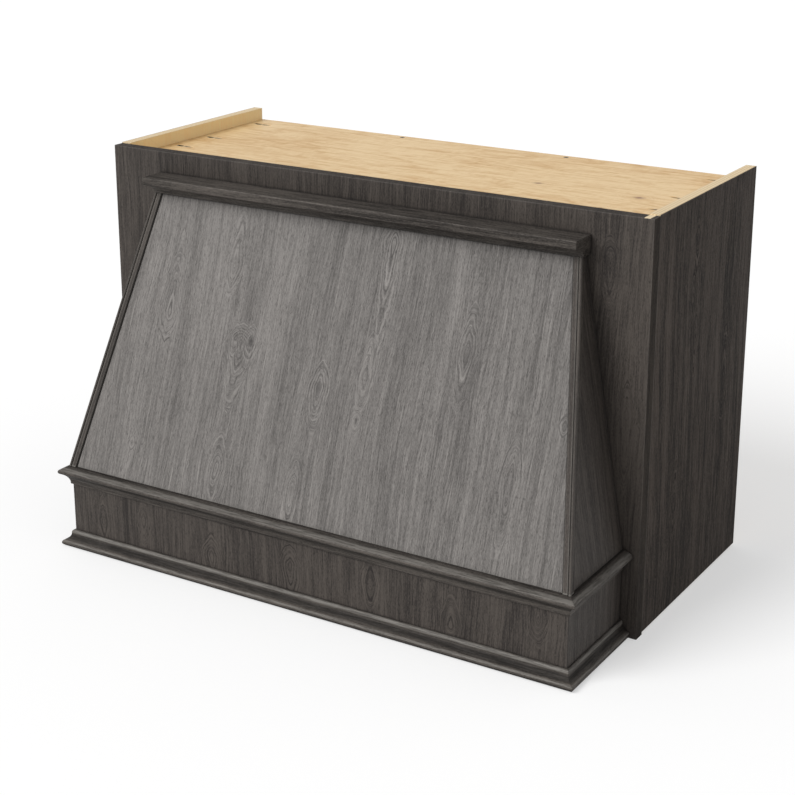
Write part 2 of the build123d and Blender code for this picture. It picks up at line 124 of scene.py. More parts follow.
class HoodBareWood(bpy.types.PropertyGroup):
    """The unstained wood inside."""

    maple: colour("Maple", "Clear-coated maple veneer", (0.745, 0.535, 0.275))
    maple_deep: colour("Maple figure", "Darker figure in the maple", (0.530, 0.310, 0.120))
    # Paler than the maple top: painted light, making up for the shade that the sides' inner faces lie in.
    inner: colour("Inner face", "Clear-coated ply inside the sides", (1.000, 0.800, 0.450))
    lit_inner_deep: colour("Inner face figure", "Darker figure in it", (1.000, 0.730, 0.385))
    softwood: colour("Softwood", "Planed rails, cleats and blocks", (0.640, 0.460, 0.270))
    softwood_deep: colour("Softwood late wood", "Growth rings of the softwood", (0.430, 0.250, 0.120))
    pin_knot: colour("Pin knot", "Small knots in the maple", (0.200, 0.080, 0.030))
    ply_pale: colour("Ply, long grain", "Layers cut along the grain", (0.780, 0.640, 0.430))
    ply_deep: colour("Ply, end grain", "Layers cut across the grain", (0.660, 0.500, 0.300))
    ply_layer: length("Ply layer", "Thickness of one layer", 0.0023)
    # Painted shade inside the drilled pockets and their troughs.
    pocket_shade: colour("Hole", "Scorched and dusty walls of the drilled pockets", (0.060, 0.036, 0.018))
    glue: colour("Glue", "Dried squeeze-out", (0.720, 0.600, 0.360))
    glue_radius: length("Glue radius", "Thickness of the squeezed-out glue", 0.0011)


class HoodScrews(bpy.types.PropertyGroup):
    """Screws that hold the cover together."""

    head_radius: length("Head radius", "Countersunk head", 0.0040)
    head_angle: angle("Head angle", "Countersunk head", radians(82))
    pan_radius: length("Pan radius", "Head of the pocket screws", 0.0036)
    pan_top: length("Pan top", "Radius of the pan head's flat top", 0.0029)
    pan_height: length("Pan height", "Head of the pocket screws", 0.0024)
    shank_radius: length("Shank radius", "Over the thread", 0.0020)
    core_radius: length("Core radius", "Under the thread", 0.0014)
    pitch: length("Pitch", "Rise of one turn of the thread", 0.0018)
    point_length: length("Point length", "Tapered end", 0.0040)
    recess_width: length("Recess width", "Square drive", 0.0027)
    recess_depth: length("Recess depth", "Square drive", 0.0017)
    wood_length: length("Wood screw length", "Countersunk screws", 0.031)
    pocket_length: length("Pocket screw length", "Pan-headed screws", 0.026)
    pocket_shoulder: length("Pocket shoulder", "Seat of the head to the board's end", 0.015)
    pocket_angle: angle("Pocket angle", "Between screw and board", radians(15))


class HoodStage(bpy.types.PropertyGroup):
    """The studio."""

    key_level: factor("Key level", "Soft lamp at the upper left", 0.75)
    sky_level: factor("Sky level", "Even light from all round", 0.50)
    floor_grey: factor("Floor", "How much light the floor gives back", 0.60)
    focal_length: bpy.props.FloatProperty(
        name="Focal length", description="Lens in millimetres", default=78.93, min=10,
        subtype="DISTANCE_CAMERA",
    )


# ------------------------------------------------------------------ node helpers


class Value:
    """A node's output, for use in a formula. Each sign in it adds a node to the output's tree."""

    def __init__(self, socket):
        self.socket = socket
        self.tree = socket.id_data

    def maths(self, operation, *others):
        """A Math node's result, or a Vector Math node's for a vector."""
        return calculate(operation, self, *others)

    def __add__(self, other):
        return self.maths("ADD", other)

    def __sub__(self, other):
        return self.maths("SUBTRACT", other)

    def __rsub__(self, other):
        return calculate("SUBTRACT", other, self)

    def __mul__(self, other):
        return self.maths("MULTIPLY", other)

    def __truediv__(self, other):
        return self.maths("DIVIDE", other)

    def __pow__(self, other):
        return self.maths("POWER", other)

    def __abs__(self):
        return self.maths("ABSOLUTE")

    def __gt__(self, other):
        return self.maths("GREATER_THAN", other)

    def __lt__(self, other):
        return self.maths("LESS_THAN", other)

    def most(self, other):
        """The larger of two values."""
        return self.maths("MAXIMUM", other)

    def dot(self, other):
        """How far a vector reaches along another one."""
        return self.maths("DOT_PRODUCT", other)

    def part(self, axis):
        """One of a vector's parts: X, Y or Z."""
        return put(self.tree, "ShaderNodeSeparateXYZ", {0: self})[axis]

    def clamped(self):
        """The same value, kept from 0 to 1 by the Math node that gives it."""
        self.socket.node.use_clamp = True
        return self


class Outputs:
    """A node's outputs, by name or number."""

    def __init__(self, node):
        self.sockets = node.outputs

    def __getitem__(self, key):
        return Value(self.sockets[key])


def connect(value, socket):
    """Lead a constant or another node's output into a node's input."""
    if isinstance(value, Value):
        value.tree.links.new(value.socket, socket)
    else:
        socket.default_value = value


def put(tree, kind, values=None, **settings):
    """Add a node, with its inputs by name or number, and give its outputs."""
    node = tree.nodes.new(kind)
    for name, value in settings.items():
        setattr(node, name, value)
    for key, value in (values or {}).items():
        connect(value, node.inputs[key])
    return Outputs(node)


def tree_of(*values):
    """The tree that the first of some values to be an output lies in."""
    return next(value.tree for value in values if isinstance(value, Value))


def calculate(operation, *values):
    """A Math node's result, or a Vector Math node's where the values are vectors."""
    inputs = dict(enumerate(values))
    if any(isinstance(value, Value) and value.socket.type == "VECTOR" for value in values):
        outputs = put(tree_of(*values), "ShaderNodeVectorMath", inputs, operation=operation)
        return outputs["Value" if operation == "DOT_PRODUCT" else "Vector"]
    return put(tree_of(*values), "ShaderNodeMath", inputs, operation=operation)["Value"]


def combine(x=0.0, y=0.0, z=0.0):
    """A vector of three values."""
    return put(tree_of(x, y, z), "ShaderNodeCombineXYZ", {"X": x, "Y": y, "Z": z})["Vector"]


def ramp(value, low, high, to_low=0.0, to_high=1.0):
    """A value carried smoothly from one range to another."""
    inputs = {"Value": value, "From Min": low, "From Max": high, "To Min": to_low, "To Max": to_high}
    return put(value.tree, "ShaderNodeMapRange", inputs, interpolation_type="SMOOTHSTEP")["Result"]


def mix(amount, first, second):
    """A value between two."""
    return put(amount.tree, "ShaderNodeMix", {0: amount, 2: first, 3: second})[0]


def blend(amount, first, second, mode="MIX"):
    """A colour between two."""
    inputs = {0: amount, 6: first, 7: second}
    tree = tree_of(amount, first, second)
    return put(tree, "ShaderNodeMix", inputs, data_type="RGBA", blend_type=mode)[2]


def noise(position, detail=2.0, roughness=0.5, distortion=0.0):
    """Smooth noise from 0 to 1 at a scaled position."""
    inputs = {
        "Vector": position, "Scale": 1.0, "Detail": detail, "Roughness": roughness, "Distortion": distortion
    }
    return put(position.tree, "ShaderNodeTexNoise", inputs)["Fac"]


def own_place(tree):
    """The object's own coordinates, which are the whole cover's."""
    return put(tree, "ShaderNodeTexCoord")["Object"]


def face_normal(tree, smooth=False):
    """The way that a face looks, or the smoothed way."""
    return put(tree, "ShaderNodeNewGeometry")["Normal" if smooth else "True Normal"]


def rgba(value, strength=1.0):
    """A colour with its alpha, darkened or lightened by its strength."""
    return (*(strength * part for part in value), 1.0)


# ------------------------------------------------------------------ geometry nodes


def geometry_group(name, lengths):
    """An empty geometry node group whose inputs are a geometry, some lengths and a material."""
    tree = bpy.data.node_groups.new(name, "GeometryNodeTree")
    inputs = {"Geometry": "Geometry", **dict.fromkeys(lengths, "Float"), "Material": "Material"}
    for label, kind in inputs.items():
        tree.interface.new_socket(label, in_out="INPUT", socket_type=f"NodeSocket{kind}")
    tree.interface.new_socket("Geometry", in_out="OUTPUT", socket_type="NodeSocketGeometry")
    return tree, Outputs(tree.nodes.new("NodeGroupInput"))


def end_group(tree, geometry, material):
    """End a geometry node group: make its copies real, and give them their material."""
    real = put(tree, "GeometryNodeRealizeInstances", {"Geometry": geometry})["Geometry"]
    done = put(tree, "GeometryNodeSetMaterial", {"Geometry": real, "Material": material})["Geometry"]
    connect(done, tree.nodes.new("NodeGroupOutput").inputs["Geometry"])
    return tree


def join(*geometries):
    """Several geometries as one."""
    node = tree_of(*geometries).nodes.new("GeometryNodeJoinGeometry")
    for geometry in geometries:
        connect(geometry, node.inputs[0])
    return Outputs(node)["Geometry"]


def lifted(geometry, height):
    """A geometry moved along its own Z."""
    inputs = {"Geometry": geometry, "Translation": combine(z=height)}
    return put(geometry.tree, "GeometryNodeTransform", inputs)["Geometry"]


def tube(curve, profile, **inputs):
    """A profile swept along a curve, with closed ends."""
    inputs = {"Curve": curve, "Profile Curve": profile, "Fill Caps": True, **inputs}
    return put(curve.tree, "GeometryNodeCurveToMesh", inputs)["Mesh"]


def build_screws_tree():
    """Square-drive screws on the points of a mesh, each with its head towards the point's axis.

    Sunk is the depth of the head's foot under the point that carries it.
    """
    lengths = (
        "Top radius", "Foot radius", "Head height", "Sunk", "Core radius", "Shank radius",
        "Length", "Point length", "Pitch", "Recess width", "Recess depth",
    )
    tree, given = geometry_group("Screws", lengths)
    sides = 32
    overlap = 0.0005  # the core runs this far into the head
    tip_radius = 0.0001
    threaded = 0.7  # part of the length that has a thread
    thread_start = 0.9  # part of the point that is under the thread's lower end
    core_radius = given["Core radius"]

    def cone(top, bottom, depth, foot):
        inputs = {"Vertices": sides, "Radius Top": top, "Radius Bottom": bottom, "Depth": depth}
        return lifted(put(tree, "GeometryNodeMeshCone", inputs)["Mesh"], foot)

    foot = given["Sunk"] * -1.0
    head = cone(given["Top radius"], given["Foot radius"], given["Head height"], foot)
    size = combine(given["Recess width"], given["Recess width"], given["Recess depth"] * 2.0)
    cutter = lifted(put(tree, "GeometryNodeMeshCube", {"Size": size})["Mesh"], given["Head height"] + foot)
    inputs = {"Mesh 1": head, "Mesh 2": cutter}
    head = put(tree, "GeometryNodeMeshBoolean", inputs, operation="DIFFERENCE")["Mesh"]

    core_length = given["Length"] - given["Point length"]
    core = cone(core_radius, core_radius, core_length - given["Sunk"] + overlap, core_length * -1.0)
    tip_foot = given["Length"] * -1.0
    tip = cone(core_radius, tip_radius, given["Point length"] + overlap, tip_foot)

    height = given["Length"] * threaded
    inputs = {
        "Resolution": 20, "Rotations": height / given["Pitch"], "Start Radius": core_radius,
        "End Radius": core_radius, "Height": height,
    }
    spiral = put(tree, "GeometryNodeCurveSpiral", inputs)["Curve"]
    inputs = {"Resolution": 4, "Radius": given["Shank radius"] - core_radius}
    ridge = put(tree, "GeometryNodeCurvePrimitiveCircle", inputs)["Curve"]
    thread = lifted(tube(spiral, ridge), given["Point length"] * thread_start + tip_foot)

    axis = put(tree, "GeometryNodeInputNamedAttribute", {"Name": "axis"}, data_type="FLOAT_VECTOR")[0]
    facing = put(tree, "FunctionNodeAlignRotationToVector", {"Vector": axis}, axis="Z")["Rotation"]
    inputs = {"Min": 0.0, "Max": 2 * pi, "Seed": 4}
    turn = put(tree, "FunctionNodeRandomValue", inputs, data_type="FLOAT")["Value"]
    spin = put(tree, "FunctionNodeAxisAngleToRotation", {"Angle": turn})["Rotation"]
    inputs = {"Rotation": facing, "Rotate By": spin}
    turned = put(tree, "FunctionNodeRotateRotation", inputs, rotation_space="LOCAL")["Rotation"]
    inputs = {
        "Points": given["Geometry"], "Instance": join(head, core, tip, thread), "Rotation": turned
    }
    spread = put(tree, "GeometryNodeInstanceOnPoints", inputs)["Instances"]
    return end_group(tree, spread, given["Material"])


def build_glue_tree():
    """Beads of squeezed-out glue along the edges of a mesh, of uneven thickness."""
    tree, given = geometry_group("Glue lines", ("Radius", "Spacing", "Seed"))
    curve = put(tree, "GeometryNodeMeshToCurve", {"Mesh": given["Geometry"]})["Curve"]
    inputs = {"Curve": curve, "Length": given["Spacing"]}
    curve = put(tree, "GeometryNodeResampleCurve", inputs, mode="LENGTH")["Curve"]
    spot = put(tree, "GeometryNodeInputPosition")["Position"]
    beads = noise(spot * (130.0, 130.0, 130.0) + combine(given["Seed"]), 2.0)
    radius = ramp(beads, 0.35, 0.70, 0.25, 1.0) * given["Radius"]
    ring = put(tree, "GeometryNodeCurvePrimitiveCircle", {"Resolution": 8, "Radius": 1.0})["Curve"]
    return end_group(tree, tube(curve, ring, Scale=radius), given["Material"])


def grow(context, name, tree, points, edges, values, axes=()):
    """Run a geometry node group over some points, and keep what it gives as a plain mesh."""
    start = bpy.data.meshes.new(f"{name}_start")
    start.from_pydata(points, edges, [])
    if axes:
        attribute = start.attributes.new("axis", "FLOAT_VECTOR", "POINT")
        for item, axis in zip(attribute.data, axes):
            item.vector = axis
    source = bpy.data.objects.new(f"{name}_start", start)
    context.scene.collection.objects.link(source)
    modifier = source.modifiers.new("Grow", "NODES")
    modifier.node_group = tree
    sockets = {
        item.name: item.identifier for item in tree.interface.items_tree if item.in_out == "INPUT"
    }
    for label, value in values.items():
        modifier[sockets[label]] = value
    context.view_layer.update()
    evaluated = source.evaluated_get(context.evaluated_depsgraph_get())
    mesh = bpy.data.meshes.new_from_object(evaluated)
    bpy.data.objects.remove(source)
    bpy.data.meshes.remove(start)
    if not mesh.polygons:
        raise RuntimeError(f"{name} has no faces")
    piece = bpy.data.objects.new(name, mesh)
    context.scene.collection.objects.link(piece)
    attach(piece, "root")
    return piece


# ------------------------------------------------------------------ shared effects

VECTORS = ("Position", "Place", "Reach", "Normal", "Through")
COLOURS = ("Color", "Dark", "Light", "Pale", "Deep")
SHARED_EFFECTS = []


def shared_effect(name, inputs, outputs):
    """Mark what makes a shader node group: from its tree and its inputs, it works out its outputs."""

    def keep(work_out):
        SHARED_EFFECTS.append((name, inputs, outputs, work_out))
        return work_out

    return keep


def build_shared_effects():
    for name, inputs, outputs, work_out in SHARED_EFFECTS:
        tree = bpy.data.node_groups.new(name, "ShaderNodeTree")
        for direction, labels in (("INPUT", inputs), ("OUTPUT", outputs)):
            for label in labels:
                kind = "Vector" if label in VECTORS else "Color" if label in COLOURS else "Float"
                tree.interface.new_socket(label, in_out=direction, socket_type=f"NodeSocket{kind}")
        given = Outputs(tree.nodes.new("NodeGroupInput"))
        result = tree.nodes.new("NodeGroupOutput").inputs
        values = work_out(tree, *(given[label] for label in inputs))
        for label, value in zip(outputs, values):
            connect(value, result[label])


def use_group(tree, name, values):
    """Place a shader node group, with its inputs by name, and give its outputs."""
    node = tree.nodes.new("ShaderNodeGroup")
    node.node_tree = bpy.data.node_groups[name]
    for key, value in values.items():
        connect(value, node.inputs[key])
    return Outputs(node)


@shared_effect("Grain figure", ("Position", "Seed", "Wander", "Flame"), ("Line",))
def grain_figure(tree, position, seed, wander, flame):
    """Lines of the grain: how far each point lies across them, with their wander and flames."""
    shift = combine(seed, seed, seed)
    slow = noise(position * (4.0, 4.0, 1.5) + shift, 1.0) - 0.5
    quick = noise(position * (13.0, 13.0, 4.0) + shift, 1.5) - 0.5
    return [quick * flame + (slow * wander + position.part("X"))]


@shared_effect("Knot", ("Position", "Line", "Place", "Reach"), ("Line", "Rings", "Heart"))
def knot(tree, position, line, place, reach):
    """Grain that folds into nested teardrops round a knot, their rings and the knot's dark heart.

    Reach holds the teardrop's half width, its height above the knot and its tail below it.
    """
    pointed = 1.45  # 1 would nest diamonds and 2 ellipses
    ring_spacing = 0.0042
    tightness = 22.0  # of the heart
    unevenness = 0.45
    away = position - place
    wide = reach.part("X")
    tall = mix(away.part("Z") > 0.0, reach.part("Z"), reach.part("Y"))
    across = abs(away.part("X") / wide) ** pointed
    along = abs(away.part("Z") / tall) ** pointed
    spread = (across + along) ** (1 / pointed)
    heart = (spread ** 2.0 * -tightness).maths("EXPONENT")
    bend = noise(position * (70.0, 70.0, 30.0), 1.0) - 0.5
    spread = abs(bend * unevenness + spread)
    near = (spread ** 3.0 * -1.0).maths("EXPONENT")
    distance = spread * wide
    ring = (distance * (2 * pi / ring_spacing)).maths("SINE")
    nested = distance + place.part("X")
    return mix(near > 0.3, line, nested), ring * near, heart


@shared_effect(
    "Stained oak",
    ("Position", "Line", "Folded", "Rings", "Heart", "Seed", "Contrast", "Dark", "Light"),
    ("Color", "Roughness", "Height"),
)
def stained_grain(tree, position, line, folded, rings, heart, seed, contrast, dark, light):
    """Stained oak's colour, sheen and relief along the lines of the grain.

    Broad bands keep to Line, and fibres follow Folded, which goes round the knots.
    """
    through = position.part("Y") + seed
    height = position.part("Z")

    def along_lines(lines, across, depth, along, detail, roughness=0.5):
        return noise(combine(lines * across, through * depth, height * along), detail, roughness)

    bands = along_lines(line, 38.0, 16.0, 2.2, 1.0)
    streaks = along_lines(line, 150.0, 20.0, 1.5, 2.0, 0.6)
    strands = along_lines(folded, 260.0, 120.0, 7.0, 3.0, 0.65)
    fibres = along_lines(folded, 850.0, 300.0, 28.0, 2.0, 0.65)
    ticks = along_lines(folded, 1200.0, 500.0, 300.0, 1.0)
    pores = ramp(along_lines(folded, 1300.0, 900.0, 150.0, 1.0), 0.58, 0.72)
    gleam = ramp(along_lines(folded, 420.0, 200.0, 9.0, 1.0), 0.60, 0.74, 0.0, 0.42)
    tone = rings
    for layer, strength in ((bands, 0.85), (streaks, 0.75), (strands, 1.2), (fibres, 1.5), (ticks, 1.0)):
        tone = (layer - 0.5) * strength + tone
    tone = (tone * contrast + 0.5).clamped()
    pale = blend(1.0, light, rgba((1.35, 1.35, 1.35)), "MULTIPLY")
    deep = blend(1.0, dark, rgba((0.5, 0.5, 0.5)), "MULTIPLY")
    wood = blend(gleam, blend(tone, dark, light), pale)
    wood = blend(pores * 0.55, wood, deep)
    return blend(heart, wood, deep), tone * -0.12 + 0.62, pores * -0.8 + fibres * 0.5


@shared_effect("Arris", ("Radius",), ("Normal", "Wear and highlight"))
def arris(tree, radius):
    """The rounded look of sanded edges, and where the stain is rubbed thin on them, which also stands for a
    painted highlight along them.
    """
    rounded = put(tree, "ShaderNodeBevel", {"Radius": radius}, samples=4)["Normal"]
    turned = 1.0 - rounded.dot(face_normal(tree, smooth=True))
    patches = noise(own_place(tree) * (60.0, 60.0, 60.0), 2.0)
    return rounded, ramp(turned, 0.02, 0.25) * ramp(patches, 0.3, 0.65, 0.25, 1.0)


@shared_effect("Hollows and ridges", ("Pool and shade reach", "Rub reach"), ("Hollow shade", "Ridge"))
def hollows_and_ridges(tree, pool_and_shade_reach, rub_reach):
    """Hollows, where painted shade goes and stain pools, and ridges, where the stain is rubbed thin and a
    highlight is painted, each within its reach.
    """
    outside = put(tree, "ShaderNodeAmbientOcclusion", {"Distance": pool_and_shade_reach}, samples=8)["AO"]
    inside = put(tree, "ShaderNodeAmbientOcclusion", {"Distance": rub_reach}, samples=8, inside=True)["AO"]
    return ramp(outside, 0.95, 0.45), ramp(inside, 0.90, 0.45)


@shared_effect("Ply edge", ("Through", "Face", "Layer"), ("Edge", "Tone"))
def ply_edge(tree, through, face, layer):
    """A plywood board's edges, and the tone of the layers that show on them."""
    wobble = 0.0006  # how far a layer strays
    veneer = 0.0009  # what counts as the face and not as an edge
    spot = own_place(tree)
    depth = noise(spot * (40.0, 40.0, 40.0), 2.0) * wobble + (spot.dot(through) - face)
    stripe = ramp((depth / layer).maths("PINGPONG", 1.0), 0.35, 0.65)
    grit = noise(spot * (900.0, 900.0, 900.0), 2.0) - 0.5
    sideways = abs(face_normal(tree).dot(through)) < 0.5
    return sideways * (depth > veneer), (grit * 0.6 + stripe).clamped()


@shared_effect("Face side", ("Normal", "Depth"), ("Behind",))
def face_side(tree, normal, depth):
    """1 on a face that looks along a normal and lies past a depth along it, and 0 elsewhere."""
    alike = face_normal(tree).dot(normal) > 0.5
    return [(own_place(tree).dot(normal) > depth) * alike]


@shared_effect(
    "Bare wood",
    ("Position", "Seed", "Pale", "Deep", "Bands", "Swirl", "Curl", "Figure"),
    ("Color", "Roughness", "Height"),
)
def bare_grain(tree, position, seed, pale, deep, bands, swirl, curl, figure):
    """Clear wood with soft bands and curl: colour, sheen and relief."""
    shift = combine(seed, seed, seed)

    def layer(scale, detail, roughness=0.5, distortion=0.0):
        return noise(position * scale + shift, detail, roughness, distortion)

    ring = layer((7.0, 7.0, 3.0), 1.5, 0.5, 0.5) * swirl + position.part("X")
    wave = ramp((ring * bands).maths("SINE"), 0.1, 1.0)
    patches = ramp(layer((5.0, 5.0, 3.0), 3.0), 0.3, 0.7)
    mottle = ramp(layer((45.0, 45.0, 16.0), 3.0, 0.65, 0.8), 0.45, 0.70)
    fine = layer((300.0, 300.0, 18.0), 3.0, 0.6)
    curls = layer((70.0, 70.0, 160.0), 2.0)
    tone = mottle * 0.42 + (patches * 0.32 + wave * figure)
    tone = (fine - 0.5) * 1.7 + tone
    tone = ((curls - 0.5) * curl + tone).clamped()
    return blend(tone, pale, deep), tone * 0.15 + 0.42, fine


# ------------------------------------------------------------------ materials


def new_material(name):
    """An empty material with its shader's inputs."""
    material = bpy.data.materials.new(name)
    material.use_nodes = True
    tree = material.node_tree
    return material, tree, tree.nodes["Principled BSDF"].inputs


def dress(material, *nodes):
    """Give CAD nodes a material."""
    for node in nodes:
        slots = NODES[node].material_slots
        for slot in slots:
            slot.material = material
        if not slots:
            NODES[node].data.materials.append(material)


def knots_at(rows, rise=0.0):
    """Knots from rows: place across and along the grain, half width, height, tail, rings and heart."""
    return [
        ((across, 0, up + rise), (wide, above, tail), rings, heart)
        for across, up, wide, above, tail, rings, heart in rows
    ]


def grain_position(tree, across, along):
    """The object's own coordinates, turned so that X runs across the grain and Z along it."""
    along = along.normalized()
    across = (across - along * across.dot(along)).normalized()
    turn = Matrix((across, along.cross(across), along)).to_euler()
    return put(tree, "ShaderNodeMapping", {"Vector": own_place(tree), "Rotation": turn})["Vector"]


def finish_surface(shader, wood_colour, roughness, height, normal, depth, specular):
    """Join a wood's colour, sheen and relief to its shader, over rounded arrises."""
    relief = {"Height": height, "Normal": normal, "Distance": depth, "Strength": 0.6}
    connect(wood_colour, shader["Base Color"])
    connect(roughness, shader["Roughness"])
    connect(put(height.tree, "ShaderNodeBump", relief)["Normal"], shader["Normal"])
    connect(specular, shader["Specular IOR Level"])


def lay_over(material, mask, second, mode="MIX"):
    """Cover a material's colour with another one where a mask is 1."""
    base = material.node_tree.nodes["Principled BSDF"].inputs["Base Color"]
    connect(blend(mask, Value(base.links[0].from_socket), second, mode), base)


def behind(material, normal, depth):
    """1 on a material's faces that look along a normal past a depth, and 0 elsewhere."""
    return use_group(material.node_tree, "Face side", {"Normal": normal, "Depth": depth})["Behind"]


def bare_maple(tree, pale, deep, position, seed):
    """Maple veneer's colour, sheen and relief."""
    wood = {"Position": position, "Seed": seed, "Pale": rgba(pale), "Deep": rgba(deep)}
    return use_group(tree, "Bare wood", {**wood, "Bands": 240.0, "Swirl": 0.34, "Curl": 0.5, "Figure": 0.15})


def show_plies(material, settings, through, face, within=None):
    """Show the layers on a plywood board's edges, or on those of them within a mask."""
    tree = material.node_tree
    ply = use_group(tree, "Ply edge", {"Through": through, "Face": face, "Layer": settings.ply_layer})
    wood = blend(ply["Tone"], rgba(settings.ply_pale), rgba(settings.ply_deep))
    lay_over(material, ply["Edge"] * within if within else ply["Edge"], wood)


def soft_band(tree, low, high, strength, least):
    """A soft, uneven band between two heights; least is the part of its strength left in its gaps."""
    soft = (high - low) / 3
    spot = own_place(tree)
    height = spot.part("Z")
    patches = noise(spot * (35.0, 35.0, 1100.0), 3.0, 0.6)
    patches = ramp(patches, 0.38, 0.60, least * strength, strength)
    return ramp(height, low, low + soft) * ramp(height, high, high - soft) * patches


def stained_oak(
    name, context, tones, across, along, seed,
    bare=None, knots=(), contrast=1.25, drift=0.0, wander=0.05, flame=0.02, rubbed=0.2, top_shade=0.0,
    specular=0.2, highlight_rounds=(), shaded_coves=(),
):
    """Stained oak whose grain runs along `along`, in a dark and a light tone.

    bare is the normal and depth of an unstained face. drift is how much darker the wood grows per metre
    across the grain. rubbed is how far ridges and sharp edges are made pale, as wear and as a painted
    highlight, and top_shade how far what faces up is darkened, as painted shade. highlight_rounds gives
    the heights between which a moulding's rounded parts carry a painted highlight, and shaded_coves those
    between which its hollows are darkened, as painted shade and as stain that pools there, and how far
    for each. Shaded tops and these darkened bands are dull too. Hollows and seams everywhere are
    darkened a little, as painted shade and as stain that pools there.
    """
    stain = context.scene.hood_stain
    dark, light = tones
    material, tree, shader = new_material(name)
    position = grain_position(tree, across, along)
    lines = {"Position": position, "Seed": seed, "Wander": wander, "Flame": flame}
    line = use_group(tree, "Grain figure", lines)["Line"]
    folded = line
    rings = position.part("X") * -drift
    heart = 0.0
    for place, reach, ringed, darkness in knots:
        place = {"Position": position, "Line": folded, "Place": place, "Reach": reach}
        eye = use_group(tree, "Knot", place)
        folded = eye["Line"]
        rings = eye["Rings"] * ringed + rings
        heart = eye["Heart"] * darkness + heart
    grain = {
        "Position": position, "Line": line, "Folded": folded, "Rings": rings, "Heart": heart,
        "Seed": seed, "Contrast": contrast, "Dark": rgba(dark), "Light": rgba(light),
    }
    oak = use_group(tree, "Stained oak", grain)
    edge = use_group(tree, "Arris", {"Radius": stain.edge_radius})
    reaches = {"Pool and shade reach": stain.pool_and_shade_reach, "Rub reach": stain.rub_reach}
    shape = use_group(tree, "Hollows and ridges", reaches)
    pool_and_shade = rgba(dark, 0.45)
    wear_and_highlight = rgba(stain.wear_and_highlight)
    # Painted shade in hollows and seams, also stain that pools there.
    wood = blend(shape["Hollow shade"] * 0.7, oak["Color"], pool_and_shade)
    roughness = oak["Roughness"]
    # Painted shade on what faces up.
    if top_shade:
        upward = ramp(face_normal(tree, smooth=True).part("Z"), 0.75, 0.95)
        wood = blend(upward * top_shade, wood, pool_and_shade)
        roughness = roughness.most(upward)
    # Painted shade in a moulding's hollows and under its noses, also stain that pools there.
    for band in shaded_coves:
        stained = soft_band(tree, *band, 0.8)
        wood = blend(stained, wood, pool_and_shade)
        roughness = roughness.most(stained)
    # Painted highlights on a moulding's rounded parts.
    for band in highlight_rounds:
        wood = blend(soft_band(tree, *band, 0.35), wood, wear_and_highlight)
    # Ridges and sharp edges made pale: wear, and a painted highlight.
    if rubbed:
        wood = blend(shape["Ridge"].most(edge["Wear and highlight"]) * rubbed, wood, wear_and_highlight)
    finish_surface(shader, wood, roughness, oak["Height"], edge["Normal"], 0.0004, specular)
    if bare:
        wood = context.scene.hood_bare_wood
        maple = bare_maple(tree, wood.maple, wood.maple_deep, position, seed)
        lay_over(material, behind(material, *bare), maple["Color"])
    return material


def softwood(name, context, across, along, seed):
    """Planed softwood."""
    settings = context.scene.hood_bare_wood
    material, tree, shader = new_material(name)
    grain = {
        "Position": grain_position(tree, across, along), "Seed": seed, "Pale": rgba(settings.softwood),
        "Deep": rgba(settings.softwood_deep), "Bands": 420.0, "Swirl": 0.16, "Curl": 0.1, "Figure": 0.30,
    }
    wood = use_group(tree, "Bare wood", grain)
    edge = use_group(tree, "Arris", {"Radius": 0.0006})
    finish_surface(shader, wood["Color"], wood["Roughness"], wood["Height"], edge["Normal"], 0.0002, 0.25)
    return material


def metal(name, tint, metallic, roughness):
    """A screw's plated or blackened steel."""
    material, tree, shader = new_material(name)
    speckle = noise(own_place(tree) * (900.0, 900.0, 900.0), 3.0, 0.6)
    connect(blend(speckle, rgba(tint, 0.75), rgba(tint)), shader["Base Color"])
    connect(speckle * 0.25 + roughness, shader["Roughness"])
    connect(metallic, shader["Metallic"])
    return material


def dried_glue(settings):
    """Dried yellow glue."""
    material, tree, shader = new_material("Dried glue")
    cloud = noise(own_place(tree) * (260.0, 260.0, 260.0), 3.0)
    connect(blend(cloud, rgba(settings.glue, 0.7), rgba(settings.glue)), shader["Base Color"])
    connect(cloud * 0.2 + 0.25, shader["Roughness"])
    return material


# ------------------------------------------------------------------ operators


class HOOD_OT_effects(bpy.types.Operator):
    """Build the shader node groups that the finishes share"""

    bl_idname = "hood.effects"
    bl_label = "Shared effects"

    def execute(self, context):
        build_shared_effects()
        return {"FINISHED"}


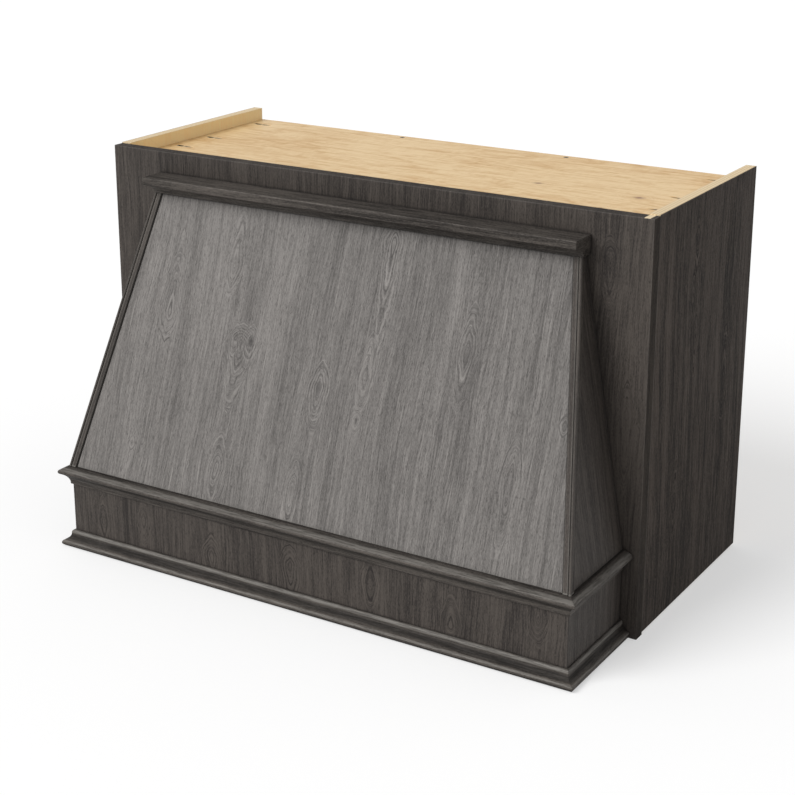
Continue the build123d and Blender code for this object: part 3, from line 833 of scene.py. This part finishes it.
class HOOD_OT_canopy(bpy.types.Operator):
    """Stain the sloped front and its cheeks"""

    bl_idname = "hood.canopy"
    bl_label = "Canopy"

    # Figure of the sloped front's veneer: places across it and up its slope, half width, height above,
    # tail below, strength of the rings and of the heart.
    FIGURE = (
        (-0.158, 0.242, 0.028, 0.028, 0.100, 0.24, 0.00),
        (-0.168, 0.249, 0.013, 0.018, 0.030, 0.14, 0.65),
        (-0.140, 0.246, 0.019, 0.024, 0.044, 0.16, 1.00),
        (-0.010, 0.198, 0.018, 0.040, 0.070, 0.30, 0.75),
        (0.072, 0.423, 0.019, 0.034, 0.190, 0.34, 0.20),
        (0.064, 0.222, 0.015, 0.070, 0.050, 0.14, 0.00),
        (0.217, 0.287, 0.018, 0.070, 0.080, 0.22, 0.12),
        (0.062, 0.165, 0.009, 0.014, 0.020, 0.25, 0.85),
        (-0.080, 0.306, 0.006, 0.010, 0.012, 0.15, 0.70),
        (-0.324, 0.057, 0.007, 0.012, 0.012, 0.15, 0.80),
        (0.381, 0.216, 0.008, 0.016, 0.016, 0.25, 0.80),
        (-0.297, 0.265, 0.019, 0.120, 0.045, 0.22, 0.00),
        (-0.193, 0.350, 0.017, 0.110, 0.045, 0.24, 0.00),
        (-0.162, 0.053, 0.020, 0.050, 0.120, 0.19, 0.00),
        (-0.024, 0.050, 0.016, 0.045, 0.110, 0.18, 0.05),
        (0.316, 0.130, 0.017, 0.060, 0.140, 0.13, 0.00),
    )

    def execute(self, context):
        stain = context.scene.hood_stain
        outward = Vector((0, -FRONT_RUN.z, FRONT_RUN.y))
        back = (-outward, -outward.dot(CANOPY_FOOT) + CANOPY_THICKNESS - SKIN)
        # Paler tones on the sloped front: partly painted light.
        front = stained_oak(
            "Canopy oak", context, (stain.lit_canopy_dark, stain.lit_canopy_light), ACROSS_FRONT, FRONT_RUN, 3.0,
            bare=back, knots=knots_at(self.FIGURE, CANOPY_FOOT.dot(FRONT_RUN)), contrast=1.05, drift=0.34,
        )
        dress(front, "canopy_front_panel")
        for side, name in SIDES:
            node = f"{name}_canopy_cheek"
            run = Vector((-side * CORNER_RUN.x, 0, CORNER_RUN.z)).normalized()
            inward = Vector((-side * run.z, 0, -abs(run.x)))
            foot = Vector((side * abs(CANOPY_FOOT.x), 0, CANOPY_FOOT.z))
            cheek = stained_oak(
                f"Cheek oak {node}", context, (stain.board_dark, stain.board_light), TO_WALL, run,
                11.0 + side, bare=(inward, inward.dot(foot) + CANOPY_THICKNESS - SKIN),
            )
            dress(cheek, node)
        return {"FINISHED"}


class HOOD_OT_boards(bpy.types.Operator):
    """Stain the face panel, the sides and the skirt"""

    bl_idname = "hood.boards"
    bl_label = "Upright boards"

    # Figure of the boards: places across and up, half width, height above, tail below, strength of the
    # rings and of the heart.
    FACE_FIGURE = (
        (0.396, 0.550, 0.014, 0.030, 0.080, 0.05, 0.15),
        (-0.405, 0.420, 0.016, 0.050, 0.110, 0.14, 0.05),
        (0.428, 0.330, 0.012, 0.050, 0.120, 0.12, 0.05),
    )
    SKIRT_FIGURE = (
        (-0.162, 0.045, 0.018, 0.036, 0.090, 0.22, 0.00),
        (-0.018, 0.066, 0.020, 0.034, 0.100, 0.22, 0.00),
        (-0.291, 0.070, 0.014, 0.050, 0.045, 0.16, 0.00),
        (-0.372, 0.050, 0.012, 0.050, 0.040, 0.16, 0.00),
        (0.120, 0.070, 0.016, 0.050, 0.050, 0.14, 0.00),
        (0.252, 0.040, 0.018, 0.050, 0.040, 0.20, 0.00),
        (0.386, 0.084, 0.018, 0.090, 0.040, 0.20, 0.00),
    )
    SIDE_FIGURE = (
        (0.061, 0.551, 0.012, 0.030, 0.050, 0.24, 0.20),
        (0.053, 0.479, 0.010, 0.030, 0.040, 0.20, 0.10),
        (0.069, 0.415, 0.014, 0.040, 0.070, 0.20, 0.10),
        (0.190, 0.300, 0.018, 0.090, 0.060, 0.16, 0.00),
        (0.020, 0.180, 0.016, 0.060, 0.070, 0.16, 0.10),
    )
    END_SHADE = (0.60, 0.58, 0.56)  # how much darker an end is made
    BARE_PATCH = (0.0060, 0.0150)  # unstained stretch of the face panel's top edge, in from its right end
    PATCH_BLUR = 0.0006

    def execute(self, context):
        stain = context.scene.hood_stain
        tones = (stain.board_dark, stain.board_light)
        low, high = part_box("front_panel")
        face = stained_oak(
            "Face panel oak", context, tones, ACROSS_FRONT, UP, 5.0,
            bare=(TO_WALL, high.y - SKIN), knots=knots_at(self.FACE_FIGURE), top_shade=0.20,
        )
        self.leave_patch(context, face, high)
        self.bare_opening(context, face, low, high)
        for side in (-1, 1):
            self.darken_end(face, Vector((side, 0, 0)), high.x - SKIN)
        dress(face, "front_panel")
        low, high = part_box("skirt_front_board")
        skirt = stained_oak(
            "Skirt front oak", context, tones, ACROSS_FRONT, UP, 7.0, bare=(TO_WALL, high.y - SKIN),
            knots=knots_at(self.SKIRT_FIGURE), rubbed=0.05, contrast=1.4,
        )
        dress(skirt, "skirt_front_board")
        for side, name in SIDES:
            low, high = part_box(f"{name}_skirt_board")
            inward = Vector((-side, 0, 0))
            inner = (inward, inward.x * (high.x if side < 0 else low.x) - SKIN)
            board = stained_oak(
                f"Skirt side oak {name}", context, tones, TO_WALL, UP, 8.5 + side, bare=inner, rubbed=0.05
            )
            dress(board, f"{name}_skirt_board")
            self.finish_side(context, side, name)
        return {"FINISHED"}

    def finish_side(self, context, side, name):
        """A ply side: stained outside, clear inside, its layers showing on its edges."""
        stain = context.scene.hood_stain
        wood = context.scene.hood_bare_wood
        low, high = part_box(f"{name}_side_panel")
        inward = Vector((-side, 0, 0))
        outer = inward.x * (low.x if side < 0 else high.x)
        # Darker tones on the sides: painted shade.
        panel = stained_oak(
            f"Side oak {name}", context, (stain.shaded_side_dark, stain.shaded_side_light), TO_WALL, UP, 15.0 + side,
            knots=knots_at(self.SIDE_FIGURE), contrast=1.6, specular=0.06,
        )
        position = grain_position(panel.node_tree, TO_WALL, UP)
        maple = bare_maple(panel.node_tree, wood.inner, wood.lit_inner_deep, position, 17.0 + side)
        lay_over(panel, behind(panel, inward, outer + SKIN), maple["Color"])
        show_plies(panel, wood, inward, outer)
        dress(panel, f"{name}_side_panel")

    def bare_opening(self, context, material, low, high):
        """The face panel's opening was cut after staining, so its edges show the plies."""
        margin = 0.002
        spot = own_place(material.node_tree)
        within = (abs(spot.part("X")) < high.x - margin) * (spot.part("Z") < high.z - margin)
        show_plies(material, context.scene.hood_bare_wood, TO_WALL, low.y, within)

    def darken_end(self, material, normal, depth):
        """An end is darker than a face, and dull."""
        end = behind(material, normal, depth)
        roughness = material.node_tree.nodes["Principled BSDF"].inputs["Roughness"]
        connect(Value(roughness.links[0].from_socket).most(end), roughness)
        lay_over(material, end, rgba(self.END_SHADE), "MULTIPLY")

    def leave_patch(self, context, material, corner):
        """The stain missed a short stretch of the face panel's top edge."""
        near, far = self.BARE_PATCH
        blur = self.PATCH_BLUR
        spot = own_place(material.node_tree)
        ragged = noise(spot * (700.0, 120.0, 0.0), 2.0)
        across = ragged * (2 * blur) + spot.part("X")
        left_edge = ramp(across, corner.x - far, corner.x - far + blur)
        right_edge = ramp(across, corner.x - near, corner.x - near + blur, 1.0, 0.0)
        on_top = behind(material, UP, corner.z - SKIN)
        lay_over(material, left_edge * right_edge * on_top, rgba(context.scene.hood_bare_wood.ply_pale))


class HOOD_OT_mouldings(bpy.types.Operator):
    """Stain the mouldings, corner beads and top trim"""

    bl_idname = "hood.mouldings"
    bl_label = "Mouldings"

    TOP_SHADES = {"cap": 0.50, "trim": 0.20}  # painted shade: how far what faces up is darkened
    JOINT_SHADOW = (0.0008, 0.0020)  # how far the painted shadow line on a corner bead reaches, and where it has faded
    # Rounded parts that carry a painted highlight, and hollows darkened as painted shade and as stain that
    # pools there: heights of their lower and upper ends over the moulding's foot, and how strongly.
    HIGHLIGHT_ROUNDS = {"base": ((0.0060, 0.0098, 0.52), (0.0188, 0.0256, 0.72)), "cap": ((0.0226, 0.0284, 0.50),)}
    SHADED_COVES = {"base": ((-0.0030, 0.0056, 0.80), (0.0088, 0.0190, 0.80)), "cap": ((0.0060, 0.0222, 0.65),)}

    def execute(self, context):
        runs = {
            "cap_moulding_front": ACROSS_FRONT,
            "left_cap_moulding": TO_WALL,
            "right_cap_moulding": TO_WALL,
            "base_moulding_front": ACROSS_FRONT,
            "left_base_moulding": TO_WALL,
            "right_base_moulding": TO_WALL,
            "top_trim": ACROSS_FRONT,
            "left_corner_bead": CORNER_RUN,
            "right_corner_bead": Vector((-CORNER_RUN.x, CORNER_RUN.y, CORNER_RUN.z)),
        }
        for number, (node, run) in enumerate(runs.items()):
            stain = self.stain_bead if "bead" in node else self.stain_moulding
            dress(stain(context, node, run, 21.0 + number), node)
        return {"FINISHED"}

    def stain_moulding(self, context, node, run, seed):
        """A moulding or the trim: its hollows darkened as painted shade and as stain that pools there, what
        faces up darkened as painted shade, and a painted highlight on its rounded parts.
        """
        stain = context.scene.hood_stain
        top_shade = sum(depth for word, depth in self.TOP_SHADES.items() if word in node)
        return stained_oak(
            f"Moulding oak {node}", context, (stain.moulding_dark, stain.moulding_light), UP, run, seed,
            wander=0.004, flame=0.003, rubbed=0.0, top_shade=top_shade, highlight_rounds=self.bands(node, self.HIGHLIGHT_ROUNDS),
            shaded_coves=self.bands(node, self.SHADED_COVES),
        )

    def stain_bead(self, context, node, run, seed):
        """A corner bead, with a painted shadow line along its seam with the sloped front."""
        stain = context.scene.hood_stain
        oak = stained_oak(
            f"Moulding oak {node}", context, (stain.board_dark, stain.board_light), ACROSS_FRONT, run, seed,
            wander=0.004, flame=0.003, rubbed=0.55, specular=0.15,
        )
        run = run.normalized()
        across = (ACROSS_FRONT - run * ACROSS_FRONT.dot(run)).normalized()
        across *= -1 if node.startswith("left") else 1
        inner = min(across.dot(vertex.co) for vertex in NODES[node].data.vertices)
        depth = own_place(oak.node_tree).dot(across) - inner
        # Painted shadow line along the bead's seam with the sloped front.
        lay_over(oak, ramp(depth, *self.JOINT_SHADOW, 0.9, 0.0), rgba(stain.joint_shadow))
        return oak

    def bands(self, node, table):
        """A moulding's bands at their heights in the whole cover."""
        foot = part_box(node)[0].z
        return [
            (foot + low, foot + high, strength)
            for word, rows in table.items()
            for low, high, strength in rows
            if word in node
        ]


class HOOD_OT_plywood(bpy.types.Operator):
    """Clear-coat the maple top panel"""

    bl_idname = "hood.plywood"
    bl_label = "Top panel"

    # Pin knots: places from front to back and from side to side, half width, length, tail, strength of
    # the rings and of the heart.
    PIN_KNOTS = (
        (0.075, 0.360, 0.028, 0.036, 0.036, 0.35, 1.0),
        (0.083, 0.196, 0.022, 0.030, 0.034, 0.30, 0.9),
        (-0.012, 0.339, 0.026, 0.022, 0.030, 0.35, 1.0),
    )
    HOLE_REACH = 0.012  # how far away a wall still counts as closing a hole in
    HOLE_OPENNESS = (0.50, 0.25)  # open part of the view at which the painted shade sets in, and is full
    HOLE_SHADE = 0.85
    TROUGH_DEPTHS = (0.0003, 0.0012)  # under the upper face, where the painted shade sets in, and is full
    TROUGH_SHADE = 0.80

    def execute(self, context):
        settings = context.scene.hood_bare_wood
        material, tree, shader = new_material("Maple plywood")
        position = grain_position(tree, TO_WALL, ACROSS_FRONT)
        wood = bare_maple(tree, settings.maple, settings.maple_deep, position, 2.0)
        edge = use_group(tree, "Arris", {"Radius": 0.0004})
        finish_surface(shader, wood["Color"], wood["Roughness"], wood["Height"], edge["Normal"], 0.0001, 0.3)
        for place, reach, ringed, darkness in knots_at(self.PIN_KNOTS):
            inputs = {"Position": position, "Line": 0.0, "Place": place, "Reach": reach}
            eye = use_group(tree, "Knot", inputs)
            lay_over(material, (eye["Rings"] * ringed).clamped(), rgba(settings.maple_deep))
            lay_over(material, eye["Heart"] * darkness, rgba(settings.pin_knot))
        low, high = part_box("top_panel")
        show_plies(material, settings, UP, low.z)
        self.shade_pockets(material, rgba(settings.pocket_shade), high.z)
        dress(material, "top_panel")
        return {"FINISHED"}

    def shade_pockets(self, material, painted_shade, surface):
        """Painted shade: the drilled pockets are darkened where their walls close them in, and so are the
        troughs in which they reach the upper face.
        """
        tree = material.node_tree
        enclosed = put(tree, "ShaderNodeAmbientOcclusion", {"Distance": self.HOLE_REACH}, samples=8)["AO"]
        lay_over(material, ramp(enclosed, *self.HOLE_OPENNESS, 0.0, self.HOLE_SHADE), painted_shade)
        shallow, deep = self.TROUGH_DEPTHS
        height = own_place(tree).part("Z")
        sunk = ramp(height, surface - shallow, surface - deep, 0.0, self.TROUGH_SHADE)
        open_above = face_normal(tree).part("Z") > 0.15
        lay_over(material, sunk * open_above, painted_shade)


class HOOD_OT_inside(bpy.types.Operator):
    """Give the rails, cleats, strips and blocks their softwood"""

    bl_idname = "hood.inside"
    bl_label = "Inside"

    def execute(self, context):
        runs = {
            "upper_hanging_rail": (UP, ACROSS_FRONT),
            "lower_hanging_rail": (UP, ACROSS_FRONT),
            "canopy_wedge": (UP, ACROSS_FRONT),
            "front_liner_cleat": (UP, ACROSS_FRONT),
            "left_liner_cleat": (UP, TO_WALL),
            "right_liner_cleat": (UP, TO_WALL),
        }
        for kind in ("corner_strip", "cheek_cleat", "corner_block", "back_block"):
            for side, name in SIDES:
                runs[f"{name}_{kind}"] = (ACROSS_FRONT, UP)
        for number, (node, (across, run)) in enumerate(runs.items()):
            dress(softwood(f"Softwood {node}", context, across, run, 31.0 + number), node)
        return {"FINISHED"}


class HOOD_OT_screws(bpy.types.Operator):
    """Set the square-drive screws"""

    bl_idname = "hood.screws"
    bl_label = "Screws"

    POCKET_PLACES = (0.118, 0.198, 0.332)  # pocket screws behind the face panel's front
    CLEAT_SPACES = (0.08, 0.36, 0.64, 0.92)  # screws along a cleat, in parts of its length
    CLEAT_THICKNESS = 0.019

    def execute(self, context):
        self.settings = context.scene.hood_screws
        self.tree = build_screws_tree()
        black = metal("Black screw", (0.020, 0.020, 0.022), 0.3, 0.40)
        zinc = metal("Zinc screw", (0.62, 0.62, 0.62), 1.0, 0.28)
        rail = self.make(context, "rail_screws", self.rail_seats(), black, "black_screw")
        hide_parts("top_rail_screws")
        pocket = self.make(context, "pocket_screws", self.pocket_seats(), zinc, "zinc_screw", pan=True)
        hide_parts("top_pocket_screws")
        self.make(context, "liner_cleat_screws", self.liner_seats(), black, "black_screw")
        self.make(context, "cheek_cleat_screws", self.cheek_seats(), black, "black_screw")
        return {"FINISHED"}

    def make(self, context, name, seats, material, slot, pan=False):
        """One group of like screws; a seat is a place and the way that its head faces."""
        screws = self.settings
        sunk = (screws.head_radius - screws.shank_radius) / tan(screws.head_angle / 2)
        values = {
            "Top radius": screws.pan_top if pan else screws.head_radius,
            "Foot radius": screws.pan_radius if pan else screws.shank_radius,
            "Head height": screws.pan_height if pan else sunk,
            "Sunk": 0.0 if pan else sunk,
            "Core radius": screws.core_radius,
            "Shank radius": screws.shank_radius,
            "Length": screws.pocket_length if pan else screws.wood_length,
            "Point length": screws.point_length,
            "Pitch": screws.pitch,
            "Recess width": screws.recess_width,
            "Recess depth": screws.recess_depth,
            "Material": material,
        }
        places, axes = zip(*seats)
        piece = grow(context, name, self.tree, places, [], values, axes)
        return piece

    def rail_seats(self):
        """The two that hold the top panel down to the upper rail."""
        low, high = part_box("top_rail_screws")
        middle = (low.y + high.y) / 2
        reach = high.x - self.settings.head_radius
        return [((side * reach, middle, high.z), (0, 0, 1)) for side in (-1, 1)]

    def pocket_seats(self):
        """The six that hold the top panel to the sides, up in their pockets."""
        low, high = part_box("top_panel")
        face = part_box("front_panel")[0].y
        tilt = self.settings.pocket_angle
        seats = []
        for side in (-1, 1):
            run = Vector((side * cos(tilt), 0, -sin(tilt)))
            for distance in self.POCKET_PLACES:
                end = Vector((side * high.x, face + distance, (low.z + high.z) / 2))
                seats.append((end - run * self.settings.pocket_shoulder, -run))
        return seats

    def liner_seats(self):
        """Through the liner's cleats into the sides and the skirt."""
        seats = []
        for side, name in SIDES:
            low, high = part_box(f"{name}_liner_cleat")
            x = high.x if side < 0 else low.x
            for part in self.CLEAT_SPACES:
                y = low.y + part * (high.y - low.y)
                seats.append(((x, y, (low.z + high.z) / 2), (-side, 0, 0)))
        low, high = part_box("front_liner_cleat")
        for part in self.CLEAT_SPACES:
            x = low.x + part * (high.x - low.x)
            seats.append(((x, high.y, (low.z + high.z) / 2), (0, 1, 0)))
        return seats

    def cheek_seats(self):
        """Through the leaning cleats into the face panel."""
        seats = []
        for side, name in SIDES:
            low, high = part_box(f"{name}_cheek_cleat")
            outer = max(abs(low.x), abs(high.x)) - self.CLEAT_THICKNESS / 2
            inner = min(abs(low.x), abs(high.x)) + self.CLEAT_THICKNESS / 2
            for part in self.CLEAT_SPACES:
                x = side * (outer + part * (inner - outer))
                seats.append(((x, low.y, low.z + part * (high.z - low.z)), (0, -1, 0)))
        return seats


class HOOD_OT_glue(bpy.types.Operator):
    """Run squeezed-out glue down the blocks and strips"""

    bl_idname = "hood.glue"
    bl_label = "Glue"

    def execute(self, context):
        settings = context.scene.hood_bare_wood
        points = []
        for side, name in SIDES:
            for kind, joins_back in (("corner_block", False), ("corner_strip", False), ("back_block", True)):
                points += self.seams(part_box(f"{name}_{kind}"), side, joins_back)
        low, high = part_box("canopy_wedge")
        for y in (low.y, high.y):
            points += [(low.x, y, low.z), (high.x, y, low.z)]
        edges = [(number, number + 1) for number in range(0, len(points), 2)]
        glue = dried_glue(settings)
        values = {"Radius": settings.glue_radius, "Spacing": 0.002, "Seed": 6.0, "Material": glue}
        piece = grow(context, "squeezed_glue", build_glue_tree(), points, edges, values)
        return {"FINISHED"}

    def seams(self, box, side, joins_back):
        """Ends of the two upright seams of a block, glued in front or behind and to its outer side."""
        low, high = box
        outer, inner = (low.x, high.x) if side < 0 else (high.x, low.x)
        glued, free = (high.y, low.y) if joins_back else (low.y, high.y)
        seams = []
        for x, y in ((inner, glued), (outer, free)):
            seams += [(x, y, low.z), (x, y, high.z)]
        return seams


class HOOD_OT_stage(bpy.types.Operator):
    """Set the floor, the lights and the camera"""

    bl_idname = "hood.stage"
    bl_label = "Studio"

    TARGET = Vector((0.005, 0.0, 0.376))
    DISTANCE = 2.645
    YAW = radians(31.56)
    PITCH = radians(17.28)
    LIFT = -0.1  # camera shift, up
    KEY_RUN = Vector((0.413, 0.689, -0.597))  # the way that the key light shines
    KEY_SOFTNESS = radians(35)
    FLOOR_REACH = 30.0
    FLOOR_GAP = 0.0005  # between the floor and the cover's foot
    SPARE_WHITE = 0.02  # keeps the floor from looking darker than the background

    def execute(self, context):
        settings = context.scene.hood_stage
        context.scene.view_settings.view_transform = "Standard"
        self.make_camera(context, settings)
        self.make_lights(context, settings)
        self.make_floor(context, settings)
        return {"FINISHED"}

    def make_camera(self, context, settings):
        flat = cos(self.PITCH)
        forward = Vector((-sin(self.YAW) * flat, cos(self.YAW) * flat, -sin(self.PITCH)))
        data = bpy.data.cameras.new("Camera")
        data.lens = settings.focal_length
        data.sensor_width = 36.0
        data.shift_y = self.LIFT
        camera = bpy.data.objects.new("Camera", data)
        camera.location = self.TARGET - forward * self.DISTANCE
        camera.rotation_euler = forward.to_track_quat("-Z", "Y").to_euler()
        context.scene.collection.objects.link(camera)
        context.scene.camera = camera

    def make_lights(self, context, settings):
        data = bpy.data.lights.new("Key", "SUN")
        data.energy = settings.key_level * pi
        data.angle = self.KEY_SOFTNESS
        key = bpy.data.objects.new("Key", data)
        key.rotation_euler = self.KEY_RUN.to_track_quat("-Z", "Y").to_euler()
        context.scene.collection.objects.link(key)
        world = bpy.data.worlds.new("Studio")
        world.use_nodes = True
        background = world.node_tree.nodes["Background"].inputs
        background["Color"].default_value = (1, 1, 1, 1)
        sky = settings.sky_level
        connect(self.seen_rays(world.node_tree) * (1.0 - sky) + sky, background["Strength"])
        context.scene.world = world

    def seen_rays(self, tree):
        """1 for rays that show the background itself or its reflection."""
        path = put(tree, "ShaderNodeLightPath")
        return path["Is Camera Ray"].most(path["Is Glossy Ray"]).most(path["Is Transmission Ray"])

    def make_floor(self, context, settings):
        """A floor that keeps the cover's shadow, glows white where it is lit, and is clear from below."""
        reach = self.FLOOR_REACH
        mesh = bpy.data.meshes.new("Floor")
        corners = ((-reach, -reach), (reach, -reach), (reach, reach), (-reach, reach))
        mesh.from_pydata([(x, y, -self.FLOOR_GAP) for x, y in corners], [], [(0, 1, 2, 3)])
        floor = bpy.data.objects.new("Floor", mesh)
        context.scene.collection.objects.link(floor)
        material, tree, shader = new_material("White floor")
        grey = settings.floor_grey
        lit = settings.key_level * -self.KEY_RUN.z + settings.sky_level
        connect(rgba((grey, grey, grey)), shader["Base Color"])
        connect(1.0, shader["Roughness"])
        connect(0.0, shader["Specular IOR Level"])
        connect((1, 1, 1, 1), shader["Emission Color"])
        glow = self.seen_rays(tree) * (1.0 - grey * lit + self.SPARE_WHITE)
        connect(glow, shader["Emission Strength"])
        under = put(tree, "ShaderNodeNewGeometry")["Backfacing"]
        opaque = Outputs(tree.nodes["Principled BSDF"])["BSDF"]
        clear = put(tree, "ShaderNodeBsdfTransparent")["BSDF"]
        both = put(tree, "ShaderNodeMixShader", {0: under, 1: opaque, 2: clear})["Shader"]
        connect(both, tree.nodes["Material Output"].inputs["Surface"])
        mesh.materials.append(material)


class HOOD_PT_panel(bpy.types.Panel):
    """Lists the steps"""

    bl_idname = "HOOD_PT_panel"
    bl_label = "Hood Cover"
    bl_space_type = "VIEW_3D"
    bl_region_type = "UI"
    bl_category = "Hood Cover"

    def draw(self, context):
        for step in STEPS:
            self.layout.operator(step.bl_idname)


SETTINGS = {
    "hood_stain": HoodStain,
    "hood_bare_wood": HoodBareWood,
    "hood_screws": HoodScrews,
    "hood_stage": HoodStage,
}
STEPS = (
    HOOD_OT_effects,
    HOOD_OT_canopy,
    HOOD_OT_boards,
    HOOD_OT_mouldings,
    HOOD_OT_plywood,
    HOOD_OT_inside,
    HOOD_OT_screws,
    HOOD_OT_glue,
    HOOD_OT_stage,
)


def register():
    for name, settings in SETTINGS.items():
        bpy.utils.register_class(settings)
        setattr(bpy.types.Scene, name, bpy.props.PointerProperty(type=settings))
    for cls in (*STEPS, HOOD_PT_panel):
        bpy.utils.register_class(cls)


def unregister():
    for cls in reversed((*STEPS, HOOD_PT_panel)):
        bpy.utils.unregister_class(cls)
    for name, settings in SETTINGS.items():
        delattr(bpy.types.Scene, name)
        bpy.utils.unregister_class(settings)


def main():
    register()
    bpy.ops.hood.effects()
    bpy.ops.hood.canopy()
    bpy.ops.hood.boards()
    bpy.ops.hood.mouldings()
    bpy.ops.hood.plywood()
    bpy.ops.hood.inside()
    bpy.ops.hood.screws()
    bpy.ops.hood.glue()
    bpy.ops.hood.stage()


if __name__ == "__main__":
    main()
